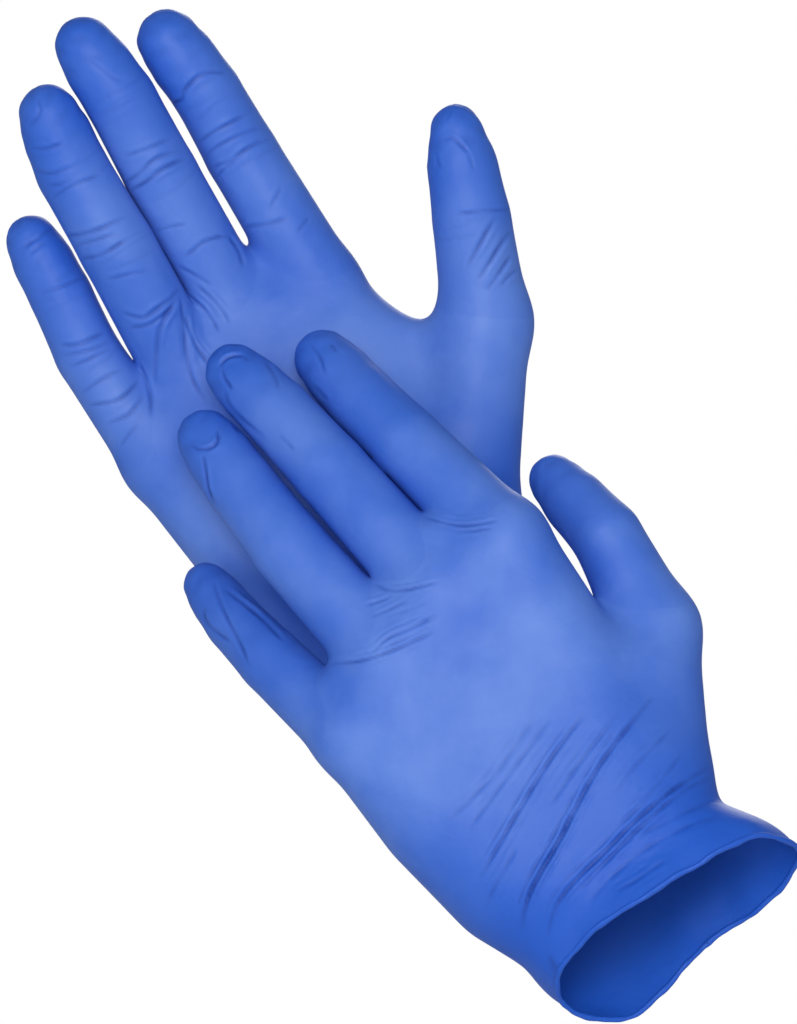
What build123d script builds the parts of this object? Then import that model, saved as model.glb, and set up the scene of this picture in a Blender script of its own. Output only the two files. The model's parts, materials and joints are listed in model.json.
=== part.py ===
"""A pair of disposable nitrile gloves in the shape they have when worn, the left one lying
over the palm of the right one.  X runs across the pair, Z up along the fingers and Y away
from the front; the origin is the middle of the left glove's wrist.  Sizes in millimetres.

Each glove is one dipped film.  It is divided at its natural creases into a palm, a knuckle
band with the four finger roots, and the finger, thumb and cuff pieces that hinge on them.
"""
import os
from math import asin, cos, radians, sin, sqrt

from build123d import *

os.makedirs("parts", exist_ok=True)

# Film, rim bead and creases
FILM = 0.2
BEAD_RADIUS = 0.8
BEAD_GAP = 0.02
CREASE_GAP = 0.4
HINGE_OFFSET = 0.5
# Length a piece is drawn past its joint before it is trimmed
OVERRUN = 8.0

# Joint to joint lengths of each digit, root to tip centre
DIGIT_LENGTHS = {
    "index": (46.0, 22.0, 20.0),
    "middle": (52.5, 26.0, 20.0),
    "ring": (48.0, 26.5, 19.0),
    "little": (39.5, 20.0, 18.5),
    "thumb": (32.0, 27.5),
}
# Outside radii at the same joints
DIGIT_RADII = {
    "index": (12.0, 10.9, 10.3, 9.2),
    "middle": (12.0, 10.8, 10.0, 8.5),
    "ring": (11.8, 10.6, 9.8, 8.8),
    "little": (10.9, 9.5, 8.6, 7.3),
    "thumb": (13.2, 11.2, 8.2),
}
FINGERS = ("index", "middle", "ring", "little")

# Palm sections: width, thickness, distance above the wrist and offset towards the thumb;
# the slopes drop the knuckle and web lines towards the little finger
WRIST_WIDTH, WRIST_THICKNESS = 77.0, 46.0
PALM_WIDTH, PALM_THICKNESS, PALM_HEIGHT, PALM_OFFSET = 92.0, 36.0, 45.0, -1.6
KNUCKLE_WIDTH, KNUCKLE_THICKNESS, KNUCKLE_HEIGHT, KNUCKLE_OFFSET = 94.0, 29.0, 91.0, -1.0
KNUCKLE_SLOPE = 11.0
WEB_WIDTH, WEB_THICKNESS, WEB_BEYOND_KNUCKLES, WEB_OFFSET = 93.0, 22.0, 17.5, -3.8
WEB_SLOPE = 20.0

# Thumb root and the web between thumb and palm
THUMB_ROOT_RADIUS = 17.0
THUMB_WEB_START, THUMB_WEB_LOW, THUMB_WEB_THICKNESS = 28.0, 22.0, 20.0
THUMB_WEB_END_LENGTH, THUMB_WEB_END_THICKNESS, THUMB_WEB_END_SHARE = 30.0, 16.0, 0.5

# Cuff rim
RIM_WIDTH, RIM_THICKNESS = 79.0, 50.0

# Air left between the fingers of the front glove and the palm of the rear one
GLOVE_GAP = 1.0

# Each glove: side (+1 palm faces +Y), wrist position, lean and tilt of the palm in degrees;
# the four finger roots by the middle of their row, the gaps between them and their heights
# above the knuckle section; the thumb joint and the thumb root (towards thumb, above wrist,
# towards palm face); and the lean and curl of every digit piece.  Crease ranges are
# (straightening, curling) from this pose.  The rim is placed from the wrist.
GLOVES = {
    "left": {
        "side": 1,
        "wrist": (0.0, 0.0, 0.0),
        "palm": (37.0, 4.0),
        "root_row": -0.9,
        "root_gaps": (1.2, 0.3, 0.3),
        "root_heights": (7.7, 7.2, -0.4, -12.0),
        "thumb_joint": (55.0, 51.0, 12.0),
        "thumb_root": (30.0, 19.0, 5.0),
        "thumb_web_top": 72.0,
        "pose": {
            "index": ((45.3, 25.0), (46.0, 31.0), (43.0, 33.0)),
            "middle": ((41.8, 20.0), (43.0, 26.0), (46.4, 26.0)),
            "ring": ((41.8, 18.0), (38.0, 25.0), (36.5, 24.0)),
            "little": ((46.5, 32.0), (44.0, 37.0), (38.0, 40.0)),
            "thumb": ((27.3, 10.0), (42.9, 32.5)),
        },
        "creases": {
            "wrist": (-10.0, 15.0),
            "knuckles": (-15.0, 0.0),
            "index": ((-30.0, 0.0), (-18.0, 0.0)),
            "middle": ((-30.0, 8.0), (-18.0, 4.8)),
            "ring": ((-30.0, 12.0), (-18.0, 7.2)),
            "little": ((-30.0, 0.0), (-18.0, 0.0)),
            "thumb": ((-25.0, 0.0), (-15.0, 25.0)),
        },
        "rim": (20.6, -9.0, -12.3),
        "rim_across": (0.854, 0.0, 0.52),
        "rim_outward": (0.459, -0.469, -0.754),
    },
    "right": {
        "side": -1,
        "wrist": (-56.6, 0.0, 81.8),
        "palm": (37.0, -9.0),
        "root_row": -1.4,
        "root_gaps": (0.8, 0.2, -1.9),
        "root_heights": (4.0, 9.0, 4.5, -9.6),
        "thumb_joint": (66.4, 55.0, 4.0),
        "thumb_root": (31.0, 20.0, 4.0),
        "thumb_web_top": 90.0,
        "pose": {
            "index": ((31.9, 2.0), (27.5, 14.0), (40.0, 8.0)),
            "middle": ((29.0, 10.0), (29.7, 12.0), (34.0, 4.0)),
            "ring": ((29.1, 14.0), (30.4, 4.0), (23.0, 8.0)),
            "little": ((33.3, 2.0), (27.3, 4.0), (28.0, 0.0)),
            "thumb": ((8.0, 8.0), (10.0, 4.0)),
        },
        "creases": {
            "wrist": (-10.0, 15.0),
            "knuckles": (-15.0, 0.0),
            "index": ((-5.0, 75.0), (-3.0, 45.0)),
            "middle": ((-5.0, 75.0), (-3.0, 45.0)),
            "ring": ((-5.0, 75.0), (-3.0, 45.0)),
            "little": ((-5.0, 75.0), (-3.0, 45.0)),
            "thumb": ((-10.0, 30.0), (-10.0, 50.0)),
        },
        "rim": (15.1, 2.0, -20.0),
        "rim_across": (0.799, 0.0, 0.602),
        "rim_outward": (0.6, 0.08, -0.796),
    },
}


def heading(lean, curl, side):
    """Direction of a piece: lean is measured from Z towards -X, curl towards the palm face."""
    return Vector(-sin(radians(lean)) * cos(radians(curl)), side * sin(radians(curl)),
                  cos(radians(lean)) * cos(radians(curl)))


def palm_axes(glove):
    """Unit vectors towards the thumb side, the fingers and the palm face."""
    lean, tilt = glove["palm"]
    towards_thumb = Vector(cos(radians(lean)), 0, sin(radians(lean)))
    towards_fingers = heading(lean, tilt, glove["side"])
    towards_palm = towards_thumb.cross(towards_fingers) * -glove["side"]
    return towards_thumb, towards_fingers, towards_palm


def palm_point(glove, across, above, out=0.0):
    """A point given from the wrist centre in the palm's own directions."""
    towards_thumb, towards_fingers, towards_palm = palm_axes(glove)
    return Vector(*glove["wrist"]) + towards_thumb * across + towards_fingers * above \
        + towards_palm * out


def root_point(glove, digit):
    """Where a digit starts; the four fingers stand side by side along the knuckles."""
    if digit == "thumb":
        return palm_point(glove, *glove["thumb_joint"])
    radii = [DIGIT_RADII[finger][0] for finger in FINGERS]
    steps = [a + b + gap for a, b, gap in zip(radii, radii[1:], glove["root_gaps"])]
    place = FINGERS.index(digit)
    across = glove["root_row"] + sum(steps) / 2 - sum(steps[:place])
    return palm_point(glove, across, KNUCKLE_HEIGHT + glove["root_heights"][place])


def digit_points(glove, digit):
    """Joint centres of one digit from its root to the centre of its round tip."""
    points = [root_point(glove, digit)]
    for length, (lean, curl) in zip(DIGIT_LENGTHS[digit], glove["pose"][digit]):
        points.append(points[-1] + heading(lean, curl, glove["side"]) * length)
    return points


def depth_behind(front, rear):
    """Distance of the rear wrist from the front: its palm stays GLOVE_GAP off their fingers."""
    towards_thumb, _, towards_palm = palm_axes(rear)
    edge = (PALM_WIDTH - PALM_THICKNESS) / 2
    depth = 0
    for finger in FINGERS:
        for centre, radius in zip(digit_points(front, finger), DIGIT_RADII[finger]):
            offset = centre - Vector(*rear["wrist"])
            beyond = max(0, abs(offset.dot(towards_thumb) - PALM_OFFSET) - edge)
            reach = PALM_THICKNESS / 2 + radius + GLOVE_GAP
            clear = sqrt(max(0, reach ** 2 - beyond ** 2))
            depth = max(depth, (clear - offset.dot(towards_palm)) / -towards_palm.Y)
    return depth


def crease(centre, before, after, palmar, radius, limits):
    """A crease between two pieces: hinge point, directions and the half angles of its notch."""
    along = (before.normalized() + after.normalized()).normalized()
    palmar = (palmar - along * palmar.dot(along)).normalized()
    low, high = limits
    toward = HINGE_OFFSET if high > -low else -HINGE_OFFSET
    return {"point": centre + palmar * (toward * radius), "along": along, "palmar": palmar,
            "open": high / 2, "back": -low / 2}


def crease_planes(fold, sign):
    """The two planes that end a piece at a crease; sign is +1 before the crease, -1 after."""
    planes = []
    for angle, flip in ((fold["open"], sign), (fold["back"], -sign)):
        normal = fold["along"] * cos(radians(angle)) + fold["palmar"] * (flip * sin(radians(angle)))
        planes.append(Plane(origin=fold["point"] - normal * (sign * CREASE_GAP / 2), z_dir=normal))
    return planes


def trimmed(piece, ends=(), starts=()):
    """Cut a piece back at the creases that end it and at those that start it."""
    with BuildPart() as cut:
        add(piece)
        for fold in ends:
            for plane in crease_planes(fold, 1):
                split(bisect_by=plane, keep=Keep.BOTTOM)
        for fold in starts:
            for plane in crease_planes(fold, -1):
                split(bisect_by=plane, keep=Keep.TOP)
    return cut.part


def tapered(start, end, radii, inset=0.0, run_in=0.0, run_out=0.0, round_start=False, tip=False):
    """A cone tangent to a ball at each end; it may start or finish with that ball."""
    first, last = radii[0] - inset, radii[1] - inset
    axis = end - start
    length = axis.length
    direction = axis.normalized()
    taper = asin((radii[0] - radii[1]) / length)
    side = direction.cross(Vector(0, 1, 0)).normalized()
    profile_plane = Plane(origin=start, x_dir=side, z_dir=side.cross(direction))
    half = (radians(90) + taper) / 2
    foot_half = (radians(90) - taper) / 2
    with BuildPart() as body:
        with BuildSketch(profile_plane):
            with BuildLine():
                if round_start:
                    foot = (first * cos(taper), first * sin(taper))
                    ThreePointArc((0, -first),
                                  (first * sin(foot_half), -first * cos(foot_half)), foot)
                    base = (0, -first)
                else:
                    foot = ((first + run_in * sin(taper)) / cos(taper), -run_in)
                    base = (0, -run_in)
                    Line(base, foot)
                if tip:
                    shoulder = (last * cos(taper), length + last * sin(taper))
                    top = (0, length + last)
                    ThreePointArc(shoulder, (last * cos(half), length + last * sin(half)), top)
                else:
                    shoulder = ((last - run_out * sin(taper)) / cos(taper), length + run_out)
                    top = (0, length + run_out)
                    Line(shoulder, top)
                Line(foot, shoulder)
                Line(top, base)
            make_face()
        revolve(axis=Axis(start, direction))
    return body.part


def lofted(sections, inset=0.0):
    """A body through rounded slot sections given as (plane, width, thickness)."""
    with BuildPart() as body:
        for plane, width, thickness in sections:
            with BuildSketch(plane):
                SlotOverall(width - 2 * inset, thickness - 2 * inset)
        loft()
    return body.part


def export_film(name, outside, inside, ends=(), starts=()):
    """Hollow the joined outside bodies with the inside ones, trim at the creases and export."""
    with BuildPart() as piece:
        for body in outside:
            add(body)
        for body in inside:
            add(body, mode=Mode.SUBTRACT)
    export_piece(name, trimmed(piece.part, ends, starts))


def export_piece(name, part):
    part.label = name
    export_step(part, f"parts/{name}.step")


def palm_sections(glove):
    """Wrist, mid palm and knuckle sections."""
    towards_thumb, towards_fingers, _ = palm_axes(glove)
    slope = radians(KNUCKLE_SLOPE)
    across = towards_thumb * cos(slope) + towards_fingers * sin(slope)
    onward = towards_fingers * cos(slope) - towards_thumb * sin(slope)
    return [
        (Plane(palm_point(glove, 0, 0), towards_thumb, towards_fingers),
         WRIST_WIDTH, WRIST_THICKNESS),
        (Plane(palm_point(glove, PALM_OFFSET, PALM_HEIGHT), towards_thumb, towards_fingers),
         PALM_WIDTH, PALM_THICKNESS),
        (Plane(palm_point(glove, KNUCKLE_OFFSET, KNUCKLE_HEIGHT), across, onward),
         KNUCKLE_WIDTH, KNUCKLE_THICKNESS),
    ]


def web_section(glove, back=0.0):
    """The section where the fingers part; back moves it towards the wrist."""
    towards_thumb, towards_fingers, _ = palm_axes(glove)
    slope = radians(WEB_SLOPE)
    across = towards_thumb * cos(slope) + towards_fingers * sin(slope)
    onward = towards_fingers * cos(slope) - towards_thumb * sin(slope)
    centre = palm_point(glove, WEB_OFFSET, KNUCKLE_HEIGHT + WEB_BEYOND_KNUCKLES) - onward * back
    return (Plane(centre, across, onward), WEB_WIDTH, WEB_THICKNESS)


def thumb_web_sections(glove):
    """The web between palm and thumb: a tall section in the palm, a short one in the thumb."""
    towards_thumb, towards_fingers, _ = palm_axes(glove)
    root = palm_point(glove, *glove["thumb_root"])
    joint = digit_points(glove, "thumb")[0]
    top = glove["thumb_web_top"]
    thumb_line = (joint - root).normalized()
    facing = (towards_thumb - thumb_line * towards_thumb.dot(thumb_line)).normalized()
    return [
        (Plane(palm_point(glove, THUMB_WEB_START, (top + THUMB_WEB_LOW) / 2, 2.0),
               towards_fingers, towards_thumb), top - THUMB_WEB_LOW, THUMB_WEB_THICKNESS),
        (Plane(root + (joint - root) * THUMB_WEB_END_SHARE, thumb_line, facing),
         THUMB_WEB_END_LENGTH, THUMB_WEB_END_THICKNESS),
    ]


def make_glove(hand, glove):
    """Export every piece of one glove."""
    towards_thumb, towards_fingers, towards_palm = palm_axes(glove)
    limits = glove["creases"]
    points = {digit: digit_points(glove, digit) for digit in DIGIT_LENGTHS}
    sections = palm_sections(glove)
    thumb_root = palm_point(glove, *glove["thumb_root"])
    thumb_palmar = towards_palm * 0.6 - towards_thumb * 0.8

    wrist_fold = crease(Vector(*glove["wrist"]), towards_fingers * -1, towards_fingers * -1,
                        towards_palm, 0, limits["wrist"])
    knuckle_plane = sections[2][0]
    knuckle_fold = crease(knuckle_plane.origin, knuckle_plane.z_dir, knuckle_plane.z_dir,
                          towards_palm, KNUCKLE_THICKNESS / 2, limits["knuckles"])
    folds = {}
    for digit, chain in points.items():
        palmar = thumb_palmar if digit == "thumb" else towards_palm
        chain_back = [thumb_root] + chain if digit == "thumb" else chain
        radii = DIGIT_RADII[digit] if digit == "thumb" else DIGIT_RADII[digit][1:]
        folds[digit] = [
            crease(chain_back[i + 1], chain_back[i + 1] - chain_back[i],
                   chain_back[i + 2] - chain_back[i + 1], palmar, radii[i], limits[digit][i])
            for i in range(2)
        ]

    # Palm with the thumb root and the thumb web
    root_radii = (THUMB_ROOT_RADIUS, DIGIT_RADII["thumb"][0])
    root_line = (thumb_root, points["thumb"][0], root_radii)
    web = thumb_web_sections(glove)
    root_skin = tapered(*root_line, run_out=OVERRUN, round_start=True)
    export_film(f"{hand}_glove_palm",
                [lofted(sections), lofted(web), trimmed(root_skin, ends=folds["thumb"][:1])],
                [lofted(sections, FILM), lofted(web, FILM),
                 tapered(*root_line, inset=FILM, run_out=2 * OVERRUN, round_start=True)],
                ends=[knuckle_fold, wrist_fold])

    # Knuckle band with the four finger roots
    band_skin = [lofted([sections[2], web_section(glove)])]
    band_hollow = [lofted([sections[2], web_section(glove, FILM)], FILM)]
    for digit in FINGERS:
        line = (points[digit][0], points[digit][1], DIGIT_RADII[digit][:2])
        root = tapered(*line, run_out=OVERRUN, round_start=True)
        band_skin.append(trimmed(root, ends=folds[digit][:1]))
        band_hollow.append(tapered(*line, inset=FILM, run_out=2 * OVERRUN, round_start=True))
    export_film(f"{hand}_glove_knuckles", band_skin, band_hollow, starts=[knuckle_fold])

    # Middle and end pieces of the fingers and the thumb
    for digit, chain in points.items():
        first = len(chain) - 3
        middle = (chain[first], chain[first + 1], DIGIT_RADII[digit][first:first + 2])
        end = (chain[first + 1], chain[first + 2], DIGIT_RADII[digit][first + 1:])
        run = {"run_in": OVERRUN, "run_out": OVERRUN}
        export_film(f"{hand}_glove_{digit}_mid",
                    [tapered(*middle, **run)], [tapered(*middle, inset=FILM, **run)],
                    starts=folds[digit][:1], ends=folds[digit][1:])
        export_film(f"{hand}_glove_{digit}_tip",
                    [tapered(*end, run_in=OVERRUN, tip=True)],
                    [tapered(*end, inset=FILM, run_in=OVERRUN, tip=True)],
                    starts=folds[digit][1:])

    # Cuff from the wrist to the rim, and the rolled bead that finishes it
    outward = Vector(*glove["rim_outward"]).normalized()
    rim_centre = Vector(*glove["wrist"]) + Vector(*glove["rim"])
    rim = Plane(rim_centre, Vector(*glove["rim_across"]), outward * -1)
    cuff = [sections[0], (rim, RIM_WIDTH, RIM_THICKNESS)]
    export_film(f"{hand}_glove_cuff", [lofted(cuff)], [lofted(cuff, FILM)], starts=[wrist_fold])
    bead_centre = rim.origin + outward * (BEAD_RADIUS + BEAD_GAP)
    with BuildSketch(Plane(bead_centre, rim.x_dir, rim.z_dir)) as rim_outline:
        SlotOverall(RIM_WIDTH - FILM, RIM_THICKNESS - FILM)
    path = rim_outline.sketch.wires()[0]
    with BuildPart() as bead:
        with BuildSketch(Plane(path @ 0, z_dir=path % 0)):
            Circle(BEAD_RADIUS)
        sweep(path=path)
    export_piece(f"{hand}_glove_bead", bead.part)


GLOVES["right"]["wrist"] = (GLOVES["right"]["wrist"][0],
                            depth_behind(GLOVES["left"], GLOVES["right"]),
                            GLOVES["right"]["wrist"][2])
for hand, glove in GLOVES.items():
    make_glove(hand, glove)
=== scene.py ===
import json
import math

import bpy
import numpy as np
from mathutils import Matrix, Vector


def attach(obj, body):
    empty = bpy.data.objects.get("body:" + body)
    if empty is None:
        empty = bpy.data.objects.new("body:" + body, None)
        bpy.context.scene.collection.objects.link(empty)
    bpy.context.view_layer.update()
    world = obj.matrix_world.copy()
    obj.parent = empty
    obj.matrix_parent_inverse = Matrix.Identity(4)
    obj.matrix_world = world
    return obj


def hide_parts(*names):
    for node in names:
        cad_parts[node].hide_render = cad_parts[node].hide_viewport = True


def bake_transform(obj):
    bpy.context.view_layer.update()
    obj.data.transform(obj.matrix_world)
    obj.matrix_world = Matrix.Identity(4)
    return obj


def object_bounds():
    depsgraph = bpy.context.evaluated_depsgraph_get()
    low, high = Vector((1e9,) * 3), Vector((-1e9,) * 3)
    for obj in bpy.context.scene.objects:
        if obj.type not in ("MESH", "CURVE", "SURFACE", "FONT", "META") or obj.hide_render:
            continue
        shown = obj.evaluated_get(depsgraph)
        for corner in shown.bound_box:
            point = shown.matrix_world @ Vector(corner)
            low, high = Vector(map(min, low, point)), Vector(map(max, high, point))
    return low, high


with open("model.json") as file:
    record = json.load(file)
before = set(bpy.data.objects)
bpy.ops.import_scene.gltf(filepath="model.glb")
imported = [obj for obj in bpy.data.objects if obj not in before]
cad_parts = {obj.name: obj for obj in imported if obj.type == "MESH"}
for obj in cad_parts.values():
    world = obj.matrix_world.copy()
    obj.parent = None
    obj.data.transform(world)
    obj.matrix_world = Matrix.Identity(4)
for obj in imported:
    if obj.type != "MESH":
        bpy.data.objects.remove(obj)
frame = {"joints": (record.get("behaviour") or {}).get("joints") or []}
cad_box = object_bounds()

# ---------------------------------------------------------------- sizes, in millimetres
VOXEL = 0.65      # step of the grid that the film is surfaced on
COARSE = 4                               # voxels in a step of the first, rough grid
RELAX = round(26 / VOXEL ** 2)           # rounds of smoothing, the same reach for every voxel
RELAX_LOSS = 0.45                        # what smoothing takes off the girth
FOLD_POWER = 1.05                        # scale of the folds' depths
FOLD_WIDTH = 0.74                        # scale of the folds' half widths
FOLD_SHADE_FULL = 0.55                         # depth at which a fold's painted shade is darkest
FACING_FULL = 0.35                       # a fold is whole where the film faces this far its way
FILM = 0.22                              # thickness of the film
BEAD = 0.85                              # radius of the rolled edge
BEAD_STEP = 1.1
BEAD_SIDES = 12
SLIT = 1.0                               # gap between neighbouring fingers
PALM_SOFTNESS = 6.0                      # radii with which the parts of the hand melt together
THUMB_ROOT_SOFTNESS = 10.0
THUMB_WEB_SOFTNESS = 9.0
THUMB_SOFTNESS = 6.0
FINGER_SOFTNESS = 5.0
CUFF_TOP = 31.0                          # above the wrist: where the cuff's piece meets the palm's
WRIST_BEND = (29.0, -9.0)                # above the wrist: where the cuff starts to turn and has turned
KNUCKLE_CUT = 16.0                       # past the knuckles: where the palm's piece ends
THUMB_CUT = 23.0                         # from the thumb's joint: where its end piece starts
THUMB_END_BEND = 12.0
THUMB_NEAR = 3.0
CUT_CLEAR = 0.6                          # from a bend to the cut next to it
WORKING_GRID = 48.0                      # room round the skeleton for the grid

LENGTHS = {
    "index": (46.0, 22.0, 20.0),
    "middle": (52.5, 26.0, 20.0),
    "ring": (48.0, 26.5, 19.0),
    "little": (39.5, 20.0, 18.5),
    "thumb": (32.0, 27.5),
}
FINGERS = ("index", "middle", "ring", "little")
DIGITS = FINGERS + ("thumb",)

GLOVES = {
    "left": {
        "side": 1,
        "roots": {
            "index": (35.2, 98.7, 0.0),
            "middle": (10.0, 98.2, 0.0),
            "ring": (-14.1, 90.6, 0.0),
            "little": (-37.1, 79.0, 0.0),
            "thumb": (55.0, 51.0, 12.0),
        },
        "radii": {
            "index": (12.0, 10.8, 10.2, 9.8, 8.8),
            "middle": (12.2, 11.1, 10.4, 9.8, 8.6),
            "ring": (12.2, 11.2, 10.3, 9.8, 8.6),
            "little": (11.0, 9.7, 8.7, 8.0, 6.9),
            "thumb": (12.6, 10.4, 9.4, 7.6),
        },
        "root_balls": (12.6, 13.0, 12.8, 11.0),
        "thumb_root": (30.0, 19.0, 5.0),
        "webs": ((20.7, 110.0), (-3.6, 102.8), (-29.0, 92.3)),
        "pose": {
            "index": ((45.3, 25.0), (46.0, 31.0), (43.0, 33.0)),
            "middle": ((41.8, 20.0), (43.0, 26.0), (46.4, 26.0)),
            "ring": ((41.8, 18.0), (38.0, 25.0), (36.5, 24.0)),
            "little": ((46.5, 32.0), (44.0, 37.0), (38.0, 40.0)),
            "thumb": ((27.3, 10.0), (42.9, 32.5)),
        },
        "thumb_web": (((30, 50, 2), 13.0), ((44, 44, 5), 11.0)),
        "thumb_zone": ((0.60, 0.80, 0.0), 8.0, 15.0),
        "rim": (20.6, -9.0, -12.3),
        "rim_across": (0.854, 0.0, 0.52),
        "rim_outward": (0.459, -0.469, -0.754),
        "flap": (140.0, 8.0, 34.0),
    },
    "right": {
        "side": -1,
        "roots": {
            "index": (33.4, 95.7, 0.0),
            "middle": (7.2, 100.0, 0.0),
            "ring": (-15.4, 95.5, 0.0),
            "little": (-37.6, 81.4, 0.0),
            "thumb": (66.4, 55.0, 4.0),
        },
        "radii": {
            "index": (11.8, 10.9, 10.2, 10.1, 9.3),
            "middle": (11.8, 11.0, 10.6, 10.1, 8.8),
            "ring": (12.4, 11.5, 10.9, 10.3, 8.9),
            "little": (11.0, 9.8, 9.3, 9.0, 7.8),
            "thumb": (13.0, 11.6, 10.4, 7.6),
        },
        "root_balls": (11.2, 13.0, 12.8, 11.2),
        "thumb_root": (31.0, 20.0, 4.0),
        "webs": ((18.6, 109.4), (-4.6, 108.0), (-28.0, 98.0)),
        "pose": {
            "index": ((31.2, 2.0), (29.6, 14.0), (36.6, 8.0)),
            "middle": ((28.6, 10.0), (28.2, 12.0), (34.0, 4.0)),
            "ring": ((29.1, 14.0), (30.4, 4.0), (23.0, 8.0)),
            "little": ((34.2, 2.0), (24.6, 4.0), (28.0, 0.0)),
            "thumb": ((8.0, 8.0), (10.0, 4.0)),
        },
        "thumb_web": (((31, 74, 0), 12.0), ((45, 60, 1), 8.5), ((58, 52, 3), 10.0)),
        "thumb_zone": ((0.86, 0.5, 0.06), -6.0, 13.5),
        "rim": (15.1, 2.0, -20.0),
        "rim_across": (0.799, 0.0, 0.602),
        "rim_outward": (0.6, 0.08, -0.796),
        "flap": (40.0, 3.0, 40.0),
    },
}


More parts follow.
